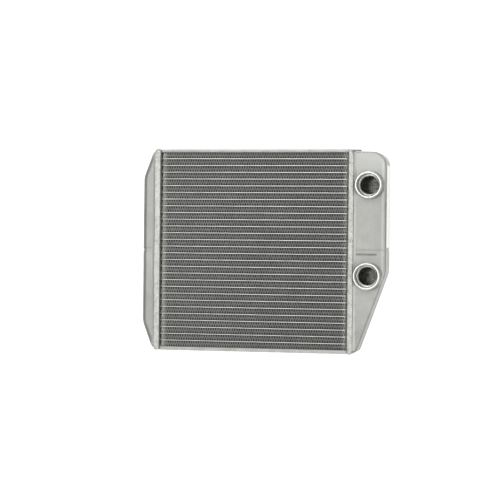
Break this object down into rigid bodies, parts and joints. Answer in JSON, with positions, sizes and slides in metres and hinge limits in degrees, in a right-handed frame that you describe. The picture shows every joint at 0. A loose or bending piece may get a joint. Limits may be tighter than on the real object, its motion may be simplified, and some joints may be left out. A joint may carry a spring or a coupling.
{
  "type": "heater core",
  "caption": "Brazed aluminium heater core: flat tubes and folded fins between a narrow return tank and a wide two-chamber tank with two round ports on its face.",
  "frame": {"origin": "middle of the bounding box, at the back of the header plates, where the core lies flat", "axes": "+X along the tubes towards the tank with the ports, +Y across the tubes towards the upper port, +Z out of the face that carries the ports"},
  "size_m": [0.2478, 0.2038, 0.0405],
  "materials": {
    "header_sheet": "satin",
    "tank_sheet": "satin",
    "side_plate_sheet": "satin",
    "turned_collar": "turned",
    "tube_sheet": "satin",
    "fin_foil": "satin"
  },
  "bodies": {
    "root": {"baffle_plate": "tank_sheet", "fins_01_02": "fin_foil", "fins_03_04": "fin_foil", "fins_05_06": "fin_foil", "fins_07_08": "fin_foil", "fins_09_10": "fin_foil", "fins_11_12": "fin_foil", "fins_13_14": "fin_foil", "fins_15_16": "fin_foil", "fins_17_18": "fin_foil", "fins_19_20": "fin_foil", "fins_21_22": "fin_foil", "fins_23_24": "fin_foil", "fins_25_26": "fin_foil", "fins_27_28": "fin_foil", "fins_29": "fin_foil", "flat_tube_01": "tube_sheet", "flat_tube_02": "tube_sheet", "flat_tube_03": "tube_sheet", "flat_tube_04": "tube_sheet", "flat_tube_05": "tube_sheet", "flat_tube_06": "tube_sheet", "flat_tube_07": "tube_sheet", "flat_tube_08": "tube_sheet", "flat_tube_09": "tube_sheet", "flat_tube_10": "tube_sheet", "flat_tube_11": "tube_sheet", "flat_tube_12": "tube_sheet", "flat_tube_13": "tube_sheet", "flat_tube_14": "tube_sheet", "flat_tube_15": "tube_sheet", "flat_tube_16": "tube_sheet", "flat_tube_17": "tube_sheet", "flat_tube_18": "tube_sheet", "flat_tube_19": "tube_sheet", "flat_tube_20": "tube_sheet", "flat_tube_21": "tube_sheet", "flat_tube_22": "tube_sheet", "flat_tube_23": "tube_sheet", "flat_tube_24": "tube_sheet", "flat_tube_25": "tube_sheet", "flat_tube_26": "tube_sheet", "flat_tube_27": "tube_sheet", "flat_tube_28": "tube_sheet", "left_header_plate": "header_sheet", "left_tank": "tank_sheet", "lower_port_collar": "turned_collar", "lower_side_plate": "side_plate_sheet", "right_header_plate": "header_sheet", "right_tank_back": "tank_sheet", "right_tank_front": "tank_sheet", "right_tank_wall": "tank_sheet", "upper_port_collar": "turned_collar", "upper_side_plate": "side_plate_sheet"}
  },
  "joints": []
}
